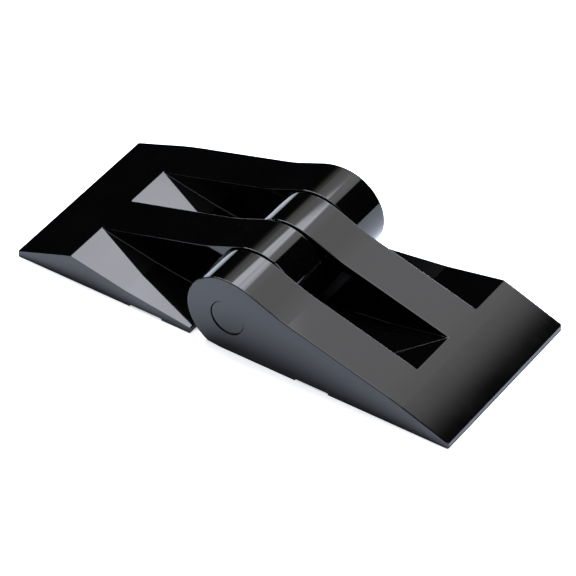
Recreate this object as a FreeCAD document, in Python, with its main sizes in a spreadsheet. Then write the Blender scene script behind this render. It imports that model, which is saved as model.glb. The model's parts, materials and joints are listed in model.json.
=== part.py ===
"""Folding wheel chock: two interleaved moulded wedges that fold about one hinge pin.

Millimetres.  X runs along the chock, Y along the hinge axis, Z up.  The chock lies open and flat on
z = 0 with the hinge axis above the origin.  Each wedge is drawn with its toe towards +X; the left one
is the same moulding turned half a turn about Z, so that its arms fill the gaps between the right
one's.  Positions across the width are counted 0 to 3 from the front (-Y): the right wedge has its
arms at 0 and 2, the left wedge at 1 and 3.
"""

import FreeCAD, Part
import math
import os
import Sketcher

DRIVING = [
    # Outline of one wedge, seen from the side
    ("half_length", 190.0, "hinge axis to toe"),
    ("chock_width", 155.0, "overall width along the hinge"),
    ("axis_height", 31.0, "hinge axis above the ground"),
    ("knuckle_radius", 35.1, "outside of the knuckles"),
    ("toe_lip", 5.1, "height of the blunt toe"),
    ("toe_bend_x", 141.5, "where the toe slope meets the arm slope"),
    ("toe_bend_z", 23.4, "height there"),
    ("toe_blend", 250.0, "radius that eases this bend"),
    ("shoulder_x", 45.7, "where the arm slope meets the shoulder"),
    ("shoulder_z", 51.1, "height there"),
    ("shoulder_blend", 120.0, "radius that eases this bend"),
    ("crown_x", 24.0, "a point near the knuckle end of the shoulder's slope"),
    ("crown_z", 60.3, "height there"),
    ("crown_blend", 53.0, "radius that eases the knuckle into the shoulder"),
    # Places across the width
    ("outer_gap", 39.4, "middle of an outer gap, from the middle of the chock"),
    ("knuckle_gap", 1.7, "side gap between neighbouring arms"),
    # Pockets between the arms
    ("pocket_toe_x", 140.0, "toe end of a pocket floor, where it runs out into the top"),
    ("pocket_toe_z", 23.6, "height of the floor there"),
    ("floor_bend_x", 90.0, "where a pocket floor gets steeper"),
    ("floor_bend_z", 13.4, "height there"),
    ("base_end_x", 32.9, "hinge end of a pocket floor"),
    ("base_end_z", 5.4, "height of the floor there"),
    ("floor_fillet", 0.5, "hollow rounding between a pocket floor and the arms' sides"),
    ("edge_radius", 0.8, "rounding of the moulded edges"),
    ("lip_radius", 1.5, "rounding of the toe lip"),
    # Hollow underside
    ("wall", 3.5, "moulded wall"),
    ("rib", 3.0, "cross rib between two cells"),
    ("cell_start_x", 46.0, "hinge end of the first cell in an arm"),
    ("cell_end_x", 138.0, "toe end of the last cell in an arm"),
    ("floor_cell_x", 84.0, "hinge end of the cells under a pocket"),
    ("toe_cell_start_x", 145.5, "hinge end of the cells in the toe"),
    ("toe_cell_end_x", 178.0, "toe end of the cells in the toe"),
    ("plate_start_x", 42.0, "hinge edge of the base plate"),
    ("plate_end_x", 182.0, "toe edge of the base plate"),
    ("plate_thickness", 2.5, "base plate"),
    ("plate_play", 0.2, "gap round the base plate"),
    # Screws that hold the base plate
    ("boss_diameter", 8.0, "screw boss"),
    ("boss_height", 10.0, "screw boss, above the plate"),
    ("pilot_depth", 9.5, "blind hole in a boss"),
    ("screw_diameter", 3.5, "self-tapping screw"),
    ("screw_length", 11.0, "from the head's face to the tip"),
    ("screw_head", 7.0, "countersunk head"),
    ("screw_head_depth", 1.9, "countersink"),
    ("screw_head_play", 0.2, "how much smaller the head is than its countersink, radial"),
    ("screw_hole_play", 0.4, "how much wider the plate's hole is than the screw"),
    ("screw_sink", 0.05, "how far the head's face lies inside the plate"),
    ("drive_length", 3.6, "long side of the cross drive"),
    ("drive_width", 0.8, "short side of the cross drive"),
    ("screw_row_near", 74.0, "first row of screws"),
    ("screw_row_far", 141.5, "last row of screws"),
    # Anti-slip pads
    ("pad_thickness", 1.5, "rubber pads under the wedge"),
    ("heel_pad_end", 59.0, "toe-side edge of the heel pad"),
    ("toe_pad_start", 87.5, "hinge-side edge of the toe pad"),
    ("heel_pad_tip", 17.5, "reach of the heel pad under a knuckle"),
    ("heel_pad_bevel", 11.5, "length of its tapered tip"),
    ("heel_pad_step", 0.5, "how far the pad stands back from the pocket floors' hinge ends"),
    ("heel_tip_thickness", 0.3, "thickness of its tapered tip"),
    ("tread_width", 1.6, "groove in a pad"),
    ("tread_depth", 0.7, "groove in a pad"),
    ("tread_pitch", 5.0, "spacing of the grooves"),
    ("tread_margin", 4.0, "plain band along a pad's edges"),
    # Hinge
    ("bore_diameter", 29.0, "bore through the knuckles"),
    ("bore_rounding", 0.4, "rounding of the bore's outer mouth"),
    ("pin_diameter", 25.0, "hinge pin"),
    ("pin_bore", 20.0, "inside of the tubular pin"),
    ("running_clearance", 0.05, "radial, bush to pin"),
    ("cap_recess", 1.0, "cap below the side of the chock"),
    ("cap_thickness", 3.0, "head of a pin cap"),
    ("cap_end_play", 0.1, "outer bushes end this far short of the caps"),
    ("cap_clearance", 0.1, "radial, cap to bore"),
    ("cap_spigot", 12.0, "length of a cap's spigot"),
    ("cap_edge", 0.5, "rounding of the cap's rim"),
    ("washer_diameter", 46.0, "thrust washer"),
    ("washer_thickness", 1.5, "thrust washer"),
]

FAR = 400.0  # longer than any part, for cuts that run clear of it
NEAR_ENOUGH = 0.01  # two places closer than this are the same place
ARM_SLOPE = "((dims.shoulder_z - dims.toe_bend_z) / (dims.toe_bend_x - dims.shoulder_x))"
TOE_SLOPE = "((dims.toe_bend_z - dims.toe_lip) / (dims.half_length - dims.toe_bend_x))"
FLOOR_SLOPE = "((dims.pocket_toe_z - dims.floor_bend_z) / (dims.pocket_toe_x - dims.floor_bend_x))"
PLATE_TOP = "(dims.pad_thickness + dims.plate_thickness)"
SEAMS = ("-dims.chock_width / 2", "-dims.outer_gap", "0", "dims.outer_gap", "dims.chock_width / 2")

doc = FreeCAD.newDocument("folding_wheel_chock")
dims = doc.addObject("Spreadsheet::Sheet", "dims")


def fill_sheet():
    """One row for each driving dimension: its name, its value and what it is."""
    for row, (alias, number, note) in enumerate(DRIVING, start=1):
        dims.set(f"A{row}", alias)
        dims.set(f"B{row}", str(number))
        dims.set(f"C{row}", note)
        dims.setAlias(f"B{row}", alias)
    doc.recompute()


# ---------------------------------------------------------------- drawing helpers


def new_body(label, turned=False):
    """An empty body; a turned one belongs to the left wedge and is swung half a turn about Z."""
    body = doc.addObject("PartDesign::Body", label)
    body.Label = label
    if turned:
        body.Placement = FreeCAD.Placement(
            FreeCAD.Vector(0, 0, 0), FreeCAD.Rotation(FreeCAD.Vector(0, 0, 1), 180)
        )
    return body


def new_sketch(body, name, role, offset=None):
    """A sketch on one of the body's own origin planes, moved along the plane's normal by offset."""
    plane = next(item for item in body.Origin.OriginFeatures if item.Role == role)
    sketch = body.newObject("Sketcher::SketchObject", name)
    sketch.AttachmentSupport = [(plane, "")]
    sketch.MapMode = "FlatFace"
    if offset:
        sketch.setExpression("AttachmentOffset.Base.z", offset)
    return sketch


def bind(sketch, kind, name, expression, *geometry, now=1.0):
    """A dimension of the sketch that follows an expression; now is what it measures already."""
    index = sketch.addConstraint(Sketcher.Constraint(kind, *geometry, now))
    sketch.renameConstraint(index, name)
    sketch.setExpression(f"Constraints.{name}", expression)


def place_point(sketch, name, edge, end, along, up):
    """Fixes one end of an edge at two expressions, measured from the sketch's origin."""
    spot = sketch.getPoint(edge, end)
    bind(sketch, "DistanceX", f"{name}_x", along, -1, 1, edge, end, now=spot.x)
    bind(sketch, "DistanceY", f"{name}_y", up, -1, 1, edge, end, now=spot.y)


def draw_polygon(sketch, corners):
    """A closed outline in an empty sketch; each corner is a pair of expressions."""
    count = len(corners)
    rough = []
    for step in range(count):
        turn = 2 * math.pi * step / count
        rough.append(FreeCAD.Vector(50 * math.cos(turn), 50 * math.sin(turn), 0))
    for step in range(count):
        sketch.addGeometry(Part.LineSegment(rough[step], rough[(step + 1) % count]), False)
    for step in range(count):
        following = (step + 1) % count
        sketch.addConstraint(Sketcher.Constraint("Coincident", step, 2, following, 1))
    for step, (along, up) in enumerate(corners):
        place_point(sketch, f"corner{step}", step, 1, along, up)


def draw_circle(sketch, along, up, diameter, tag="hole"):
    """Adds a circle at a pair of expressions."""
    index = sketch.addGeometry(
        Part.Circle(FreeCAD.Vector(1, 1, 0), FreeCAD.Vector(0, 0, 1), 5), False
    )
    place_point(sketch, tag, index, 3, along, up)
    bind(sketch, "Diameter", f"{tag}_size", diameter, index, now=10.0)


def pad(body, sketch, name, length, both_ways=False, backwards=False):
    feature = body.newObject("PartDesign::Pad", name)
    feature.Profile = (sketch, [""])
    feature.SideType = "Symmetric" if both_ways else "One side"
    feature.Reversed = backwards
    feature.setExpression("Length", length)
    doc.recompute()
    return feature


def pocket(body, sketch, name, length, both_ways=False, backwards=False):
    """Cuts, and stops the build if the cut removed nothing."""
    before = body.Shape.Volume
    feature = body.newObject("PartDesign::Pocket", name)
    feature.Profile = (sketch, [""])
    feature.SideType = "Symmetric" if both_ways else "One side"
    feature.Reversed = backwards
    feature.setExpression("Length", length)
    doc.recompute()
    if body.Shape.Volume > before - NEAR_ENOUGH:
        raise RuntimeError(f"{body.Label}: {name} removed nothing")
    return feature


def revolve(body, sketch, name):
    """Turns the sketch once round the body's Y axis."""
    feature = body.newObject("PartDesign::Revolution", name)
    feature.Profile = (sketch, [""])
    axis = next(item for item in body.Origin.OriginFeatures if item.Role == "Y_Axis")
    feature.ReferenceAxis = (axis, [""])
    feature.Angle = 360
    doc.recompute()
    return feature


def round_edges(body, name, radius, chosen, kind="PartDesign::Fillet", size="Radius"):
    """Rounds (or chamfers) every edge of the body that chosen(edge) accepts."""
    base = body.Tip
    edges = [
        f"Edge{number}"
        for number, edge in enumerate(base.Shape.Edges, start=1)
        if chosen(edge)
    ]
    if not edges:
        raise RuntimeError(f"{body.Label}: {name} found no edge")
    feature = body.newObject(kind, name)
    feature.Base = (base, edges)
    feature.setExpression(size, radius)
    doc.recompute()
    return feature


def middle(edge):
    return edge.valueAt((edge.FirstParameter + edge.LastParameter) / 2)


def position_centre(place):
    """Expression for the middle of position 0 to 3 across the width."""
    return f"(({SEAMS[place]} + {SEAMS[place + 1]}) / 2)"


def position_width(place):
    return f"({SEAMS[place + 1]} - {SEAMS[place]})"


def arm_side(place, far):
    """Expression for an arm's near or far side, which stands back from a gap's middle."""
    number = place + far
    if number in (0, len(SEAMS) - 1):
        return f"({SEAMS[number]})"
    return f"({SEAMS[number]} {'-' if far else '+'} dims.knuckle_gap / 2)"


def arm_centre(place):
    return f"(({arm_side(place, 0)} + {arm_side(place, 1)}) / 2)"


def arm_width(place):
    return f"({arm_side(place, 1)} - {arm_side(place, 0)})"


def arm_inner_width(place):
    """Expression for the room between an arm's side walls."""
    return f"({arm_width(place)} - 2 * dims.wall)"


def arm_top(along):
    return f"(dims.toe_bend_z + (dims.toe_bend_x - ({along})) * {ARM_SLOPE})"


def toe_top(along):
    return f"(dims.toe_lip + (dims.half_length - ({along})) * {TOE_SLOPE})"


def floor_top(along):
    """Expression for the steeper part of a pocket floor."""
    return f"(dims.floor_bend_z + (({along}) - dims.floor_bend_x) * {FLOOR_SLOPE})"


# ---------------------------------------------------------------- the moulded wedge


def blend_points(before, corner, after, radius):
    """Start, middle and end of the arc that rounds a corner; a rough start for the sketch."""
    inward = (corner - before).normalize()
    outward = (after - corner).normalize()
    half_turn = inward.getAngle(outward) / 2
    setback = radius * math.tan(half_turn)
    to_centre = (outward - inward).normalize()
    depth = radius * (1 / math.cos(half_turn) - 1)
    return corner - inward * setback, corner + to_centre * depth, corner + outward * setback


def crown_points(axis, shoulder, crown):
    """Where the crown's arc touches the knuckle, its middle, and where it touches the shoulder."""
    along = (crown - shoulder).normalize()
    outward = FreeCAD.Vector(-along.y, along.x, 0) * -1
    clear = (crown - axis).dot(outward)
    offset = dims.crown_blend - dims.knuckle_radius
    swing = math.acos((dims.crown_blend - clear) / offset)
    line_angle = math.atan2(outward.y, outward.x)
    touch_angle = line_angle + swing
    touch = FreeCAD.Vector(math.cos(touch_angle), math.sin(touch_angle), 0)
    centre = axis - touch * offset
    half_angle = line_angle + swing / 2
    half_way = FreeCAD.Vector(math.cos(half_angle), math.sin(half_angle), 0)
    reach = dims.crown_blend
    return axis + touch * dims.knuckle_radius, centre + half_way * reach, centre + outward * reach


def draw_side_outline(sketch):
    """The wedge from the side: bottom, toe, two slopes, shoulder, crown and the knuckle's arc."""
    low = dims.pad_thickness
    foot_reach = math.sqrt(dims.knuckle_radius**2 - (dims.axis_height - low) ** 2)
    axis = FreeCAD.Vector(0, dims.axis_height, 0)
    foot = FreeCAD.Vector(-foot_reach, low, 0)
    toe_bottom = FreeCAD.Vector(dims.half_length, low, 0)
    toe = FreeCAD.Vector(dims.half_length, dims.toe_lip, 0)
    bend = FreeCAD.Vector(dims.toe_bend_x, dims.toe_bend_z, 0)
    shoulder = FreeCAD.Vector(dims.shoulder_x, dims.shoulder_z, 0)
    crown = FreeCAD.Vector(dims.crown_x, dims.crown_z, 0)
    bend_start, bend_middle, bend_end = blend_points(toe, bend, shoulder, dims.toe_blend)
    dip_start, dip_middle, dip_end = blend_points(bend, shoulder, crown, dims.shoulder_blend)
    touch, crown_middle, crown_end = crown_points(axis, shoulder, crown)
    back = FreeCAD.Vector(-dims.knuckle_radius, dims.axis_height, 0)
    curves = (
        Part.LineSegment(foot, toe_bottom),
        Part.LineSegment(toe_bottom, toe),
        Part.LineSegment(toe, bend_start),
        Part.Arc(bend_start, bend_middle, bend_end),
        Part.LineSegment(bend_end, dip_start),
        Part.Arc(dip_end, dip_middle, dip_start),
        Part.LineSegment(dip_end, crown_end),
        Part.Arc(crown_end, crown_middle, touch),
        Part.Arc(touch, back, foot),
    )
    bottom, lip, toe_slope, toe_arc, arm_slope = range(5)
    dip_arc, shoulder_line, crown_arc, knuckle = range(5, len(curves))
    for curve in curves:
        sketch.addGeometry(curve, False)
    for kind, first, first_end, second, second_end in (
        ("Coincident", bottom, 2, lip, 1),
        ("Coincident", lip, 2, toe_slope, 1),
        ("Tangent", toe_slope, 2, toe_arc, 1),
        ("Tangent", toe_arc, 2, arm_slope, 1),
        ("Tangent", arm_slope, 2, dip_arc, 2),
        ("Tangent", dip_arc, 1, shoulder_line, 1),
        ("Tangent", shoulder_line, 2, crown_arc, 1),
        ("Tangent", crown_arc, 2, knuckle, 1),
        ("Coincident", knuckle, 2, bottom, 1),
    ):
        sketch.addConstraint(Sketcher.Constraint(kind, first, first_end, second, second_end))
    for name, spot, slopes in (
        ("toe_bend", bend, (toe_slope, arm_slope)),
        ("shoulder", shoulder, (arm_slope, shoulder_line)),
        ("crown", crown, (shoulder_line,)),
    ):
        corner = sketch.addGeometry(Part.Point(spot), True)
        for slope in slopes:
            sketch.addConstraint(Sketcher.Constraint("PointOnObject", corner, 1, slope))
        place_point(sketch, name, corner, 1, f"dims.{name}_x", f"dims.{name}_z")
    place_point(sketch, "toe_bottom", bottom, 2, "dims.half_length", "dims.pad_thickness")
    place_point(sketch, "toe_top", lip, 2, "dims.half_length", "dims.toe_lip")
    place_point(sketch, "axis", knuckle, 3, "0", "dims.axis_height")
    bind(sketch, "DistanceY", "foot_y", "dims.pad_thickness", -1, 1, bottom, 1, now=low)
    for name, arc in (
        ("knuckle_radius", knuckle),
        ("toe_blend", toe_arc),
        ("shoulder_blend", dip_arc),
        ("crown_blend", crown_arc),
    ):
        bind(sketch, "Radius", f"{name}_size", f"dims.{name}", arc, now=getattr(dims, name))


def cut_pockets(body, places):
    """Leaves the arms standing: cuts the other wedge's positions down to sloping floors."""
    for place in places:
        sketch = new_sketch(body, f"pocket_{place}_side", "XZ_Plane", f"-{position_centre(place)}")
        draw_polygon(
            sketch,
            [
                ("dims.half_length", floor_top("dims.half_length")),
                ("dims.half_length", f"{FAR}"),
                (f"-{FAR}", f"{FAR}"),
                (f"-{FAR}", f"-{FAR}"),
                ("dims.base_end_x", f"-{FAR}"),
                ("dims.base_end_x", "dims.base_end_z"),
                ("dims.floor_bend_x", "dims.floor_bend_z"),
            ],
        )
        width = f"{position_width(place)} + dims.knuckle_gap"
        pocket(body, sketch, f"pocket_{place}", width, both_ways=True)


def floor_height(along):
    """Height of the pocket floors at a place along the wedge."""
    if along < dims.floor_bend_x:
        rise = (dims.floor_bend_z - dims.base_end_z) / (dims.floor_bend_x - dims.base_end_x)
    else:
        rise = (dims.pocket_toe_z - dims.floor_bend_z) / (dims.pocket_toe_x - dims.floor_bend_x)
    return dims.floor_bend_z + (along - dims.floor_bend_x) * rise


def is_top_rim(edge):
    """Edges along the top of the wedge's sides: knuckle rims, arms, and the sides of the toe."""
    if edge.BoundBox.YLength > NEAR_ENOUGH or edge.Length < 1.0:
        return False
    spot = middle(edge)
    if spot.x > dims.pocket_toe_x + 0.5:
        return spot.z > dims.toe_lip and abs(abs(spot.y) - dims.chock_width / 2) < NEAR_ENOUGH
    return spot.z > max(floor_height(spot.x), dims.pad_thickness) + 2 * dims.floor_fillet


def is_floor_side(edge):
    """The hollow corner between a pocket floor and the side of an arm."""
    spot = middle(edge)
    along = edge.BoundBox.YLength < NEAR_ENOUGH and edge.BoundBox.XLength > 10
    return (
        along
        and abs(abs(spot.y) - dims.chock_width / 2) > 1.0
        and abs(spot.z - floor_height(spot.x)) < NEAR_ENOUGH
    )


def is_lip(edge):
    """The toe's top edge and its two upright corners."""
    spot = middle(edge)
    at_toe = abs(spot.x - dims.half_length) < NEAR_ENOUGH
    upright = edge.BoundBox.YLength < NEAR_ENOUGH and edge.BoundBox.ZLength > 0.5
    top = edge.BoundBox.YLength > 10 and spot.z > dims.toe_lip - 0.5
    return at_toe and (upright or top)


def is_base_end(edge):
    """The top edge of a pocket floor's hinge end."""
    spot = middle(edge)
    return (
        edge.BoundBox.YLength > 10
        and abs(spot.x - dims.base_end_x) < NEAR_ENOUGH
        and abs(spot.z - dims.base_end_z) < NEAR_ENOUGH
    )


def cut_cell(body, name, centre, width, near, far, roof):
    """One hollow between ribs, open downwards, whose roof follows the top at one wall's depth."""
    sketch = new_sketch(body, f"{name}_side", "XZ_Plane", f"-{centre}")
    draw_polygon(
        sketch,
        [
            (near, PLATE_TOP),
            (far, PLATE_TOP),
            (far, f"{roof(far)} - dims.wall"),
            (near, f"{roof(near)} - dims.wall"),
        ],
    )
    pocket(body, sketch, name, width, both_ways=True)


def cut_cells(body, arms, pockets):
    """Hollows the arms, the ground under the pockets and the toe, leaving walls and ribs."""
    span = "((dims.cell_end_x - dims.cell_start_x - 2 * dims.rib) / 3)"
    for place in arms:
        for cell in range(3):
            near = f"(dims.cell_start_x + {cell} * ({span} + dims.rib))"
            cut_cell(
                body,
                f"arm_{place}_cell_{cell}",
                arm_centre(place),
                arm_inner_width(place),
                near,
                f"({near} + {span})",
                arm_top,
            )
    for place in pockets:
        cut_cell(
            body,
            f"floor_{place}_cell",
            arm_centre(place),
            arm_inner_width(place),
            "dims.floor_cell_x",
            "(dims.cell_end_x - dims.wall)",
            floor_top,
        )
    for place in range(4):
        cut_cell(
            body,
            f"toe_cell_{place}",
            arm_centre(place),
            arm_inner_width(place),
            "dims.toe_cell_start_x",
            "dims.toe_cell_end_x",
            toe_top,
        )


def screw_places(arms):
    """Name and expressions for each screw: three along each arm and one beyond each pocket."""
    middle_row = "((dims.screw_row_near + dims.screw_row_far) / 2)"
    places = []
    for place in range(4):
        rows = ["dims.screw_row_far"]
        if place in arms:
            rows = ["dims.screw_row_near", middle_row, "dims.screw_row_far"]
        for row, along in enumerate(rows):
            places.append((f"p{place}r{row}", along, position_centre(place)))
    return places


def draw_screw_circles(sketch, arms, diameter):
    for name, along, across in screw_places(arms):
        draw_circle(sketch, along, across, diameter, name)


def add_bosses(body, arms):
    """Screw bosses standing on the ribs, with their pilot holes."""
    sketch = new_sketch(body, "boss_plan", "XY_Plane", PLATE_TOP)
    draw_screw_circles(sketch, arms, "dims.boss_diameter")
    pad(body, sketch, "bosses", "dims.boss_height")
    sketch = new_sketch(body, "pilot_plan", "XY_Plane", PLATE_TOP)
    draw_screw_circles(sketch, arms, "dims.screw_diameter")
    pocket(body, sketch, "pilots", "dims.pilot_depth", backwards=True)


def rectangle(near, far, low, high):
    return [(near, low), (far, low), (far, high), (near, high)]


def make_wedge(label, turned):
    """The moulded half: arms at positions 0 and 2, pockets at 1 and 3, hollow underneath."""
    arms, pockets = (0, 2), (1, 3)
    body = new_body(label, turned)
    outline = new_sketch(body, "side_outline", "XZ_Plane")
    draw_side_outline(outline)
    pad(body, outline, "wedge_block", "dims.chock_width", both_ways=True)
    cut_pockets(body, pockets)
    round_edges(body, "floor_sides", "dims.floor_fillet", is_floor_side)
    round_edges(body, "lip_edges", "dims.lip_radius", is_lip)
    round_edges(body, "top_edges", "dims.edge_radius", lambda e: is_top_rim(e) or is_base_end(e))
    rebate = new_sketch(body, "plate_rebate_plan", "XY_Plane", "dims.pad_thickness")
    side = "(dims.chock_width / 2 - dims.wall)"
    draw_polygon(
        rebate, rectangle("dims.plate_start_x", "dims.plate_end_x", f"-{side}", side)
    )
    pocket(body, rebate, "plate_rebate", "dims.plate_thickness", backwards=True)
    cut_cells(body, arms, pockets)
    add_bosses(body, arms)
    bore = new_sketch(body, "bore_side", "XZ_Plane")
    draw_circle(bore, "0", "dims.axis_height", "dims.bore_diameter", "bore")
    pocket(body, bore, "hinge_bore", f"{FAR}", both_ways=True)

    def is_outer_mouth(edge):
        box = edge.BoundBox
        return (
            box.YLength < NEAR_ENOUGH
            and abs(abs(box.YMin) - dims.chock_width / 2) < NEAR_ENOUGH
            and abs(box.XLength - dims.bore_diameter) < 0.1
            and abs(box.ZLength - dims.bore_diameter) < 0.1
        )

    round_edges(body, "bore_mouth", "dims.bore_rounding", is_outer_mouth)
    return body


# ---------------------------------------------------------------- under the wedge


def make_base_plate(label, turned):
    """Flat cover let into the underside, countersunk for its screws."""
    arms = (0, 2)
    body = new_body(label, turned)
    plan = new_sketch(body, "plate_plan", "XY_Plane", "dims.pad_thickness")
    side = "(dims.chock_width / 2 - dims.wall - dims.plate_play)"
    near = "dims.plate_start_x + dims.plate_play"
    far = "dims.plate_end_x - dims.plate_play"
    draw_polygon(plan, rectangle(near, far, f"-{side}", side))
    pad(body, plan, "plate", "dims.plate_thickness")
    holes = new_sketch(body, "screw_hole_plan", "XY_Plane", "dims.pad_thickness")
    draw_screw_circles(holes, arms, "dims.screw_diameter + dims.screw_hole_play")
    pocket(body, holes, "screw_holes", "dims.plate_thickness", backwards=True)

    def is_hole_mouth(edge):
        return (
            edge.Curve.TypeId == "Part::GeomCircle"
            and abs(middle(edge).z - dims.pad_thickness) < NEAR_ENOUGH
        )

    round_edges(
        body,
        "countersinks",
        "(dims.screw_head - dims.screw_diameter) / 2",
        is_hole_mouth,
        "PartDesign::Chamfer",
        "Size",
    )
    return body


def make_screw():
    """One countersunk self-tapping screw, point up, its head's face at the origin."""
    body = new_body("base_screw_master")
    half = new_sketch(body, "screw_half", "XZ_Plane")
    shank = "dims.screw_diameter / 2 - dims.running_clearance"
    draw_polygon(
        half,
        [
            ("0", "0"),
            ("dims.screw_head / 2 - dims.screw_head_play", "0"),
            (shank, "dims.screw_head_depth"),
            (shank, "dims.screw_length - dims.screw_diameter / 2"),
            ("0", "dims.screw_length"),
        ],
    )
    feature = body.newObject("PartDesign::Revolution", "screw_turned")
    feature.Profile = (half, [""])
    axis = next(item for item in body.Origin.OriginFeatures if item.Role == "Z_Axis")
    feature.ReferenceAxis = (axis, [""])
    feature.Angle = 360
    doc.recompute()
    long, short = "dims.drive_length / 2", "dims.drive_width / 2"
    for tag, length, width in (("slot", long, short), ("cross", short, long)):
        plan = new_sketch(body, f"drive_{tag}_plan", "XY_Plane")
        draw_polygon(plan, rectangle(f"-{length}", length, f"-{width}", width))
        pocket(body, plan, f"drive_{tag}", "dims.screw_head_depth / 2", backwards=True)
    return body


def make_screw_group(label, screw, turned):
    """All of one plate's screws, each a separate solid: copies of the one screw."""
    near, far = dims.screw_row_near, dims.screw_row_far
    outer = (dims.chock_width / 2 + dims.outer_gap) / 2
    inner = dims.outer_gap / 2
    copies = []
    for place, across in enumerate((-outer, -inner, inner, outer)):
        rows = (near, (near + far) / 2, far) if place in (0, 2) else (far,)
        for along in rows:
            copy = screw.Shape.copy()
            copy.translate(FreeCAD.Vector(along, across, dims.pad_thickness + dims.screw_sink))
            copies.append(copy)
    group = doc.addObject("Part::Feature", label)
    group.Label = label
    group.Shape = Part.makeCompound(copies)
    if turned:
        group.Placement = FreeCAD.Placement(
            FreeCAD.Vector(0, 0, 0), FreeCAD.Rotation(FreeCAD.Vector(0, 0, 1), 180)
        )
    return group


def add_tread(body, near, far):
    """Grooves across the pad's underside, repeated along its length."""
    groove = new_sketch(body, "groove_plan", "XY_Plane")
    side = "(dims.chock_width / 2 - dims.tread_margin)"
    start = f"({near} + dims.tread_margin)"
    draw_polygon(groove, rectangle(start, f"{start} + dims.tread_width", f"-{side}", side))
    cut = pocket(body, groove, "groove", "dims.tread_depth", backwards=True)
    pattern = body.newObject("PartDesign::LinearPattern", "tread")
    pattern.Originals = [cut]
    pattern.Direction = (groove, ["H_Axis"])
    run = f"({far} - {near} - 2 * dims.tread_margin - dims.tread_width)"
    pattern.Mode = "Spacing"
    pattern.setExpression("Offset", "dims.tread_pitch")
    pattern.setExpression("Occurrences", f"floor({run} / dims.tread_pitch) + 1")
    body.Tip = pattern
    doc.recompute()


def make_toe_pad(label, turned):
    """Rubber pad under the toe, flush with the wedge's sides and toe."""
    body = new_body(label, turned)
    plan = new_sketch(body, "toe_pad_plan", "XY_Plane")
    side = "dims.chock_width / 2"
    draw_polygon(plan, rectangle("dims.toe_pad_start", "dims.half_length", f"-{side}", side))
    pad(body, plan, "toe_pad", "dims.pad_thickness")
    round_edges(
        body,
        "toe_pad_corners",
        "dims.lip_radius",
        lambda e: e.BoundBox.ZLength > 1 and middle(e).x > dims.half_length - 1,
    )
    add_tread(body, "dims.toe_pad_start", "dims.half_length")
    return body


def make_heel_pad(label, turned):
    """Rubber pad under the hinge end, a comb whose two teeth run out below the knuckles."""
    body = new_body(label, turned)
    plan = new_sketch(body, "heel_pad_plan", "XY_Plane")
    side = "dims.chock_width / 2"
    start = "(dims.base_end_x + dims.heel_pad_step)"
    draw_polygon(plan, rectangle(start, "dims.heel_pad_end", f"-{side}", side))
    pad(body, plan, "heel_pad", "dims.pad_thickness")
    for place in (0, 2):
        tooth = new_sketch(body, f"tooth_{place}_side", "XZ_Plane", f"-{arm_centre(place)}")
        draw_polygon(
            tooth,
            [
                ("-dims.heel_pad_tip", "dims.pad_thickness"),
                ("-dims.heel_pad_tip", "dims.pad_thickness - dims.heel_tip_thickness"),
                ("-dims.heel_pad_tip + dims.heel_pad_bevel", "0"),
                (f"{start} + 1", "0"),
                (f"{start} + 1", "dims.pad_thickness"),
            ],
        )
        pad(body, tooth, f"tooth_{place}", arm_width(place), both_ways=True)
    add_tread(body, start, "dims.heel_pad_end")
    return body


# ---------------------------------------------------------------- the hinge


def ring_half(body, name, low, high, inner, outer):
    """Half section of a ring round the Y axis, drawn in the XY plane."""
    sketch = new_sketch(body, name, "XY_Plane")
    draw_polygon(sketch, rectangle(inner, outer, low, high))
    return sketch


def lift_to_axis(body):
    body.setExpression("Placement.Base.z", "dims.axis_height")


def make_bush(place):
    """Sleeve pressed into one knuckle; the outer two stop short to leave room for the caps."""
    body = new_body(f"knuckle_bush_{place + 1}")
    near_side, far_side = arm_side(place, 0), arm_side(place, 1)
    seat = "(dims.chock_width / 2 - dims.cap_recess - dims.cap_thickness - dims.cap_end_play)"
    if place == 0:
        near_side = f"(-{seat})"
    if place == 3:
        far_side = seat
    inner = "dims.pin_diameter / 2 + dims.running_clearance"
    half = ring_half(body, "bush_half", near_side, far_side, inner, "dims.bore_diameter / 2")
    revolve(body, half, "bush")
    lift_to_axis(body)
    return body


def make_pin():
    """Tubular hinge pin through all four knuckles."""
    body = new_body("hinge_pin")
    seat = "(dims.chock_width / 2 - dims.cap_recess - dims.cap_thickness)"
    half = ring_half(
        body, "pin_half", f"-{seat}", seat, "dims.pin_bore / 2", "dims.pin_diameter / 2"
    )
    revolve(body, half, "tube")
    lift_to_axis(body)
    return body


def make_cap(label, side):
    """Plug pressed into one end of the pin; its head covers the end of the bore."""
    body = new_body(label)
    face = f"({side} * (dims.chock_width / 2 - dims.cap_recess))"
    seat = f"({face} - {side} * dims.cap_thickness)"
    tip = f"({seat} - {side} * dims.cap_spigot)"
    rim = "(dims.bore_diameter / 2 - dims.cap_clearance)"
    spigot = "(dims.pin_bore / 2)"
    sketch = new_sketch(body, "cap_half", "XY_Plane")
    draw_polygon(
        sketch,
        [
            ("0", face),
            (f"{rim} - dims.cap_edge", face),
            (rim, f"{face} - {side} * dims.cap_edge"),
            (rim, seat),
            (spigot, seat),
            (spigot, f"{tip} + {side} * 1"),
            (f"{spigot} - 1", tip),
            ("0", tip),
        ],
    )
    revolve(body, sketch, "cap")
    lift_to_axis(body)
    return body


def make_washer(number):
    """Thrust washer that keeps two neighbouring knuckles apart."""
    body = new_body(f"thrust_washer_{number}")
    centre = f"({SEAMS[number]})"
    half = ring_half(
        body,
        "washer_half",
        f"{centre} - dims.washer_thickness / 2",
        f"{centre} + dims.washer_thickness / 2",
        "dims.pin_diameter / 2 + 2 * dims.running_clearance",
        "dims.washer_diameter / 2",
    )
    revolve(body, half, "washer")
    lift_to_axis(body)
    return body


# ---------------------------------------------------------------- build and write


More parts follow.
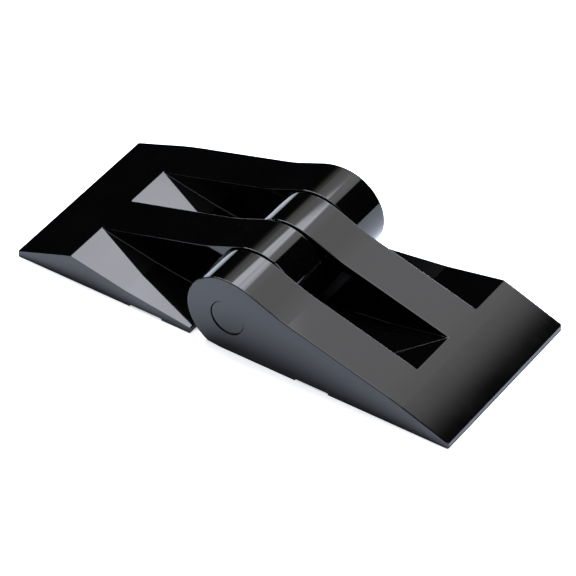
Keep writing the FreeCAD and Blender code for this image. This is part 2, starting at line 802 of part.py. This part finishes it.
def build():
    fill_sheet()
    screw = make_screw()
    parts = []
    for side, turned in (("right", False), ("left", True)):
        parts.append(make_wedge(f"{side}_wedge", turned))
        parts.append(make_base_plate(f"{side}_base_plate", turned))
        parts.append(make_screw_group(f"{side}_base_screws", screw, turned))
        parts.append(make_toe_pad(f"{side}_toe_pad", turned))
        parts.append(make_heel_pad(f"{side}_heel_pad", turned))
    parts.append(make_pin())
    parts.append(make_cap("pin_cap_front", -1))
    parts.append(make_cap("pin_cap_rear", 1))
    parts.extend(make_bush(place) for place in range(4))
    parts.extend(make_washer(number) for number in (1, 2, 3))
    doc.recompute()
    return parts


def check(parts):
    """Stops the build if any object failed or any part isn't a sound solid."""
    for item in doc.Objects:
        if "Invalid" in item.State or "Error" in item.State:
            raise RuntimeError(f"{item.Label} failed: {item.State}")
    for part in parts:
        if part.Shape.isNull() or not part.Shape.isValid() or not part.Shape.Solids:
            raise RuntimeError(f"{part.Label} has no sound shape")


def write(parts):
    os.makedirs("parts", exist_ok=True)
    for part in parts:
        part.Shape.exportStep(f"parts/{part.Label}.step")
        print(part.Label, len(part.Shape.Solids), round(part.Shape.Volume, 1))


parts = build()
check(parts)
write(parts)
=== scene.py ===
"""Studio scene round the folding wheel chock: materials, floor, lights and camera, in metres."""

import json
import math

import bpy
from mathutils import Matrix, Quaternion, Vector


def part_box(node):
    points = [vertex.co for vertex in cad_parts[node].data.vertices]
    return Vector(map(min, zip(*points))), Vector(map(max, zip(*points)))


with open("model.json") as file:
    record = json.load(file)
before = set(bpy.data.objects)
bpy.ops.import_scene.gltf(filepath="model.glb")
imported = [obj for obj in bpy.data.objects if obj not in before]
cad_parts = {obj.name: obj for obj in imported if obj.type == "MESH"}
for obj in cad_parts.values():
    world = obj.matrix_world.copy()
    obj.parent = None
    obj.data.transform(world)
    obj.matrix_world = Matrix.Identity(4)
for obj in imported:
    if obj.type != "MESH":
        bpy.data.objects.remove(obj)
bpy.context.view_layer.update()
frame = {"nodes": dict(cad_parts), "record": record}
nodes = frame["nodes"]
scene = bpy.context.scene

# ---------------------------------------------------------------- camera

CAMERA_PLACE = Vector((1.36482, -2.01064, 2.09879))
CAMERA_AIM = Vector((-0.425249, 0.626835, -0.652871))
# Turn about the line of sight, in radians
CAMERA_ROLL = -0.0031
# In millimetres
SENSOR_WIDTH, LENS = 36.0, 271.89
CLIP_NEAR, CLIP_FAR = 0.1, 30.0


def make_camera():
    """A long lens looking down at the front and the right-hand end."""
    data = bpy.data.cameras.new("camera")
    data.sensor_width, data.lens = SENSOR_WIDTH, LENS
    data.clip_start, data.clip_end = CLIP_NEAR, CLIP_FAR
    camera = bpy.data.objects.new("camera", data)
    scene.collection.objects.link(camera)
    camera.rotation_mode = "QUATERNION"
    camera.location = CAMERA_PLACE
    turn = CAMERA_AIM.to_track_quat("-Z", "Y")
    camera.rotation_quaternion = turn @ Quaternion((0, 0, 1), CAMERA_ROLL)
    scene.camera = camera


# ---------------------------------------------------------------- node wiring


class Wiring:
    """Adds nodes to a tree and joins them in one call each."""

    def __init__(self, tree):
        self.tree = tree

    def add(self, kind, *inputs, out=0, **settings):
        node = self.tree.nodes.new(f"ShaderNode{kind}")
        for name, value in settings.items():
            setattr(node, name, value)
        for place, value in enumerate(inputs):
            if isinstance(value, bpy.types.NodeSocket):
                self.tree.links.new(value, node.inputs[place])
            elif value is not None:
                node.inputs[place].default_value = value
        return node.outputs[out]

    def math(self, operation, *inputs):
        return self.add("Math", *inputs, operation=operation)

    def vector(self, operation, *inputs, out=0):
        return self.add("VectorMath", *inputs, operation=operation, out=out)

    def plan(self, place):
        """X and Y of a place."""
        split = self.add("SeparateXYZ", place).node
        return split.outputs["X"], split.outputs["Y"]

    def past(self, value, edge):
        """How far a value lies above an edge, and 0 below it."""
        return self.math("MAXIMUM", self.math("SUBTRACT", value, edge), 0.0)

    def beyond(self, value, low, high, margin=0.0):
        """How far a value lies outside a stretch that is shortened by a margin at both ends."""
        away = self.math("ABSOLUTE", self.math("SUBTRACT", value, (low + high) / 2))
        return self.past(away, (high - low) / 2 - margin)

    def length(self, x, y):
        return self.vector("LENGTH", self.add("CombineXYZ", x, y), out="Value")

    def band(self, value, low, high, start=0.0, end=1.0, smooth=True):
        """start at low, end at high, eased between."""
        kind = "SMOOTHSTEP" if smooth else "LINEAR"
        return self.add("MapRange", value, low, high, start, end, interpolation_type=kind)

    def blend(self, factor, first, second):
        """Mix of two colours, each a socket or three numbers."""
        mix = self.tree.nodes.new("ShaderNodeMix")
        mix.data_type = "RGBA"
        mix.clamp_factor = True
        self.tree.links.new(factor, mix.inputs["Factor"])
        for name, value in (("A", first), ("B", second)):
            if isinstance(value, bpy.types.NodeSocket):
                self.tree.links.new(value, mix.inputs[name])
            else:
                mix.inputs[name].default_value = (*value, 1)
        return mix.outputs["Result"]

    def noise(self, place, size, stretch=(1, 1, 1), detail=3.0, rough=0.5):
        """Cloudy noise whose patches are about size across, longer along a small stretch."""
        scaled = self.vector("MULTIPLY", place, stretch)
        return self.add("TexNoise", scaled, None, 1 / size, detail, rough)


# ---------------------------------------------------------------- materials

# Noise values between which a cloudy roughness changes
CLOUD_LOW, CLOUD_HIGH = 0.3, 0.7
HINGE_HEIGHT = frame["record"]["behaviour"]["joints"][0]["pos_m"][2]
RING_PITCH = 0.0004


class Surface:
    """A material with one Principled shader, and a wiring helper for its nodes."""

    def __init__(self, name, **values):
        self.mat = bpy.data.materials.new(name)
        self.mat.use_nodes = True
        self.tree = self.mat.node_tree
        self.shader = self.tree.nodes["Principled BSDF"]
        self.wire = Wiring(self.tree)
        self.place = self.wire.add("TexCoord", out="Object")
        for socket, value in values.items():
            self.shader.inputs[socket.replace("_", " ")].default_value = value

    def feed(self, socket, value):
        self.tree.links.new(value, self.shader.inputs[socket])

    def noise(self, size, **settings):
        return self.wire.noise(self.place, size, **settings)

    def colours(self, factor, first, second):
        self.feed("Base Color", self.wire.blend(factor, first, second))

    def roughness(self, cloud, low, high):
        self.feed("Roughness", self.wire.band(cloud, CLOUD_LOW, CLOUD_HIGH, low, high))

    def bump(self, height, strength, depth):
        """Relief of at most depth."""
        node = self.tree.nodes.new("ShaderNodeBump")
        node.inputs["Strength"].default_value = strength
        node.inputs["Distance"].default_value = depth
        self.tree.links.new(height, node.inputs["Height"])
        self.feed("Normal", node.outputs[0])


def gloss_black():
    """Polished black moulding: near-mirror skin, slight orange peel, cloudy and rubbed places."""
    look = Surface("gloss_black", IOR=1.47)
    wire = look.wire
    cloud = look.noise(size=0.035, detail=4.0)
    look.colours(cloud, (0.00035, 0.00035, 0.0004), (0.0009, 0.0009, 0.00095))
    hairlines = look.noise(size=0.004, stretch=(0.06, 1, 1), detail=2.0)
    rubbed = wire.band(hairlines, low=0.56, high=0.74, end=0.012)
    skin = wire.band(cloud, low=0.35, high=0.7, start=0.040, end=0.056)
    look.feed("Roughness", wire.math("ADD", skin, rubbed))
    look.bump(look.noise(size=0.006, detail=1.0), strength=0.05, depth=0.00002)
    return look.mat


def grained_black():
    """Matt black moulding of the base plates, with a spark-eroded grain."""
    look = Surface("grained_black", IOR=1.5)
    cloud = look.noise(size=0.03, detail=5.0)
    look.colours(cloud, (0.012, 0.012, 0.0125), (0.022, 0.022, 0.022))
    look.roughness(cloud, low=0.42, high=0.55)
    look.bump(look.noise(size=0.0009, rough=0.6), strength=0.5, depth=0.0001)
    return look.mat


def pad_rubber():
    """Ribbed black rubber: dull, with a bloom of grey dust and fine moulding grain."""
    look = Surface("pad_rubber", IOR=1.45)
    bloom = look.noise(size=0.018, detail=6.0, rough=0.6)
    dusty = look.wire.band(bloom, low=0.45, high=0.75)
    look.colours(dusty, (0.0085, 0.0085, 0.0085), (0.021, 0.021, 0.02))
    look.roughness(bloom, low=0.6, high=0.8)
    look.bump(look.noise(size=0.0006), strength=0.4, depth=0.00008)
    return look.mat


def zinc_plate():
    """Zinc-plated screws: bright, faintly mottled blue and straw."""
    look = Surface("zinc_plate", Metallic=1.0)
    mottle = look.noise(size=0.003)
    look.colours(mottle, (0.55, 0.58, 0.62), (0.68, 0.65, 0.56))
    look.roughness(mottle, low=0.22, high=0.38)
    look.bump(look.noise(size=0.0005), strength=0.2, depth=0.00003)
    return look.mat


def drawn_steel():
    """Drawn tube of the hinge pin, with fine lines along its length."""
    look = Surface("drawn_steel", Metallic=1.0)
    lines = look.noise(size=0.0007, stretch=(1, 0.015, 1), detail=2.0)
    look.colours(lines, (0.50, 0.50, 0.51), (0.64, 0.64, 0.63))
    look.roughness(lines, low=0.25, high=0.42)
    look.bump(lines, strength=0.3, depth=0.00003)
    return look.mat


def turned_acetal():
    """Natural acetal of the bushes and washers, with the rings that turning leaves."""
    look = Surface("turned_acetal", IOR=1.48)
    wire = look.wire
    cloud = look.noise(size=0.01)
    look.colours(cloud, (0.70, 0.69, 0.63), (0.79, 0.78, 0.72))
    look.roughness(cloud, low=0.30, high=0.42)
    from_hinge = wire.vector("SUBTRACT", look.place, (0, 0, HINGE_HEIGHT))
    radius = wire.vector("LENGTH", wire.vector("MULTIPLY", from_hinge, (1, 0, 1)), out="Value")
    rings = wire.math("SINE", wire.math("MULTIPLY", radius, 2 * math.pi / RING_PITCH))
    look.bump(rings, strength=0.25, depth=0.00002)
    return look.mat


def dress(mat, *names):
    for name in names:
        for slot in nodes[name].material_slots:
            slot.material = mat


# ---------------------------------------------------------------- floor

FLOOR_REACH = 3.0
CORNER_SIGNS = ((-1, -1), (1, -1), (1, 1), (-1, 1))
FLOOR_COLOUR = (0.82, 0.865, 0.96)
# Painted shade under the hinge: the dark colour painted on the paper there, how far it reaches from
# the axis, and its soft edge
PAINTED_SHADE_COLOUR = (0.10, 0.105, 0.115)
PAINTED_SHADE_REACH, PAINTED_SHADE_SOFT = 0.029, 0.009
# Glow that the camera sees on the lit paper
FLOOR_LIFT = 0.65


def make_floor():
    """White paper. It is lifted to clear white for the camera, as in a cut-out product picture,
    but not in the painted shade under the hinge, where the paper is painted dark."""
    corners = [(x * FLOOR_REACH, y * FLOOR_REACH, 0) for x, y in CORNER_SIGNS]
    mesh = bpy.data.meshes.new("floor")
    mesh.from_pydata(corners, [], [(0, 1, 2, 3)])
    floor = bpy.data.objects.new("floor", mesh)
    scene.collection.objects.link(floor)
    paper = Surface("floor_white", Roughness=0.9, Emission_Color=(FLOOR_LIFT,) * 3 + (1,))
    wire = paper.wire
    x, y = wire.plan(paper.place)
    reach_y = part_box("hinge_pin")[1][1] - PAINTED_SHADE_SOFT
    off_x = wire.beyond(x, -PAINTED_SHADE_REACH, PAINTED_SHADE_REACH)
    off_y = wire.beyond(y, -reach_y, reach_y)
    outside_painted_shade = wire.band(wire.math("MAXIMUM", off_x, off_y), 0.0, PAINTED_SHADE_SOFT)
    # Painted shade: the paper under the hinge is painted dark and gets no lift, standing in for the
    # deep shade there
    paper.colours(outside_painted_shade, PAINTED_SHADE_COLOUR, FLOOR_COLOUR)
    paper.feed("Emission Strength", wire.math("MULTIPLY", outside_painted_shade, wire.add("LightPath")))
    mesh.materials.append(paper.mat)


# ---------------------------------------------------------------- light

CEILING_HEIGHT = 2.0
CEILING_X = (-2.4, 2.2)
CEILING_Y = (-1.6, 3.0)
# The dim cloth's brightness along X: place, brightness, and how much blue it keeps
CLOTH = (
    (-2.15, 0.03, 0.93), (-1.94, 0.19, 0.93), (-1.76, 0.52, 0.94), (-1.60, 0.83, 0.95),
    (-1.30, 1.13, 0.96), (-1.00, 1.35, 1.00), (0.10, 2.35, 1.03), (0.37, 2.14, 1.02),
    (0.535, 2.0, 1.02), (0.545, 1.82, 1.02), (0.565, 1.32, 1.02), (0.578, 1.0, 1.02),
    (0.584, 0.40, 1.0), (0.588, 0.02, 1.0), (0.60, 0.0, 1.0),
)
# What is left of that brightness at the ceiling's front edge
CLOTH_DIM = 0.55
# The ceiling's strength; every brightness of the cloth is a part of it
PEAK = 4.0
LAMP_X, LAMP_Y = (-0.86, 0.45), (-0.1, 1.69)
LAMP_CORNER, LAMP_SOFT = 0.22, 0.05
# The lamp's far right corner is an arc of its own, about this centre
ROUND_X, ROUND_Y, ROUND_RADIUS = -1.335, 0.32, 1.775
# Colours of the lamp at its right and left edges, in parts of PEAK
LAMP_RIGHT = (1.40, 1.42, 1.54)
LAMP_LEFT = (2.05, 2.10, 2.29)
# Soft folds in the lamp's cloth: how much they change it, and their size in parts of the ceiling
FOLDS, FOLD_SIZE, FOLD_STRETCH = 0.3, 0.05, (1, 0.35, 1)
FOLD_LOW, FOLD_HIGH = 0.35, 0.65
# More lamps at both sides and behind: they light the paper from where no flat face mirrors them
FILLS = (((0.8, 2.0), (0.2, 1.3)), ((-2.3, -1.0), (0.2, 1.2)), ((-1.3, 1.1), (2.3, 2.8)))
FILL_SOFT = 0.06
FILL_GLOW = (3.45, 3.6, 3.95)
# A low board at the far left, for the hinge's rounded end: centre, length, height, radiance
BOARD_CENTRE = (-2.3, 1.87, 0.135)
BOARD_ALONG, BOARD_DOWN, BOARD_GLOW = (0.93, 1.15, 0), (0, 0, -0.23), 1.9
WORLD_COLOUR = (0.002, 0.002, 0.002, 1)


def panel(name, centre, along, across, radiance):
    """A panel spanned by two vectors; it shines to the side that along x across points away from."""
    along, across = Vector(along), Vector(across)
    data = bpy.data.lights.new(name, "AREA")
    data.shape = "RECTANGLE"
    data.size, data.size_y = along.length, across.length
    data.energy = radiance * math.pi * along.length * across.length
    light = bpy.data.objects.new(name, data)
    scene.collection.objects.link(light)
    back = along.cross(across)
    axes = Matrix((along.normalized(), across.normalized(), back.normalized())).transposed()
    light.matrix_world = Matrix.Translation(centre) @ axes.to_4x4()
    return light


def cloth_glow(wire, part_x, y):
    """The dim cloth: brighter to the right up to a soft edge, and dimmer towards the front."""
    colour = wire.add("ValToRGB", part_x)
    stops = colour.node.color_ramp.elements
    # The new stops are put in their places below
    while len(stops) < len(CLOTH):
        stops.new(0.5)
    for stop, (x, level, blue) in zip(stops, CLOTH):
        stop.position = (x - CEILING_X[0]) / (CEILING_X[1] - CEILING_X[0])
        stop.color = (level / PEAK, level / PEAK, level * blue / PEAK, 1)
    return wire.vector("MULTIPLY", colour, wire.band(y, CEILING_Y[0], LAMP_Y[1], CLOTH_DIM, 1.0))


def lamp_shape(wire, x, y):
    """1 inside the lamp, 0 outside: a rectangle with rounded corners, the far right one larger."""
    off = [wire.beyond(v, *span, LAMP_CORNER) for v, span in ((x, LAMP_X), (y, LAMP_Y))]
    box = wire.band(wire.length(*off), LAMP_CORNER + LAMP_SOFT, LAMP_CORNER - LAMP_SOFT)
    out = wire.length(wire.past(x, ROUND_X), wire.past(y, ROUND_Y))
    arc = wire.band(out, ROUND_RADIUS + LAMP_SOFT, ROUND_RADIUS - LAMP_SOFT)
    return wire.math("MINIMUM", box, arc)


def lamp_glow(wire, place, x):
    """The lamp's colour, brighter to the left, with soft folds."""
    clouds = wire.noise(place, FOLD_SIZE, stretch=FOLD_STRETCH)
    folds = wire.band(clouds, FOLD_LOW, FOLD_HIGH, 1 - FOLDS / 2, 1 + FOLDS / 2)
    colour = wire.blend(wire.band(x, *LAMP_X, 1.0, 0.0, smooth=False), LAMP_RIGHT, LAMP_LEFT)
    return wire.vector("MULTIPLY", colour, folds)


def make_ceiling():
    """One overhead softbox: the lamp in its dim cloth, and the fill lamps round it."""
    width, depth = CEILING_X[1] - CEILING_X[0], CEILING_Y[1] - CEILING_Y[0]
    middle = (sum(CEILING_X) / 2, sum(CEILING_Y) / 2, CEILING_HEIGHT)
    light = panel("ceiling", middle, (width, 0, 0), (0, depth, 0), 1.0)
    light.data.use_nodes = True
    tree = light.data.node_tree
    wire = Wiring(tree)
    place = wire.add("NewGeometry", out="Parametric")
    part_x, part_y = wire.plan(place)
    x = wire.math("MULTIPLY_ADD", part_x, width, CEILING_X[0])
    y = wire.math("MULTIPLY_ADD", part_y, depth, CEILING_Y[0])
    glow = wire.blend(lamp_shape(wire, x, y), cloth_glow(wire, part_x, y), lamp_glow(wire, place, x))
    for fill_x, fill_y in FILLS:
        off = wire.math("MAXIMUM", wire.beyond(x, *fill_x), wire.beyond(y, *fill_y))
        glow = wire.blend(wire.band(off, FILL_SOFT, 0.0), glow, FILL_GLOW)
    emission = tree.nodes["Emission"]
    tree.links.new(glow, emission.inputs["Color"])
    emission.inputs["Strength"].default_value = PEAK


# ---------------------------------------------------------------- the scene

make_camera()
acetal_nodes = [name for name in nodes if name.startswith(("knuckle_bush_", "thrust_washer_"))]
dress(gloss_black(), "left_wedge", "right_wedge", "pin_cap_front", "pin_cap_rear")
dress(grained_black(), "left_base_plate", "right_base_plate")
dress(pad_rubber(), "left_toe_pad", "right_toe_pad", "left_heel_pad", "right_heel_pad")
dress(zinc_plate(), "left_base_screws", "right_base_screws")
dress(drawn_steel(), "hinge_pin")
dress(turned_acetal(), *acetal_nodes)
make_floor()

world = bpy.data.worlds.new("studio")
scene.world = world
world.use_nodes = True
world.node_tree.nodes["Background"].inputs["Color"].default_value = WORLD_COLOUR
make_ceiling()
panel("low_board", BOARD_CENTRE, BOARD_ALONG, BOARD_DOWN, BOARD_GLOW)

scene.view_settings.view_transform = "Standard"
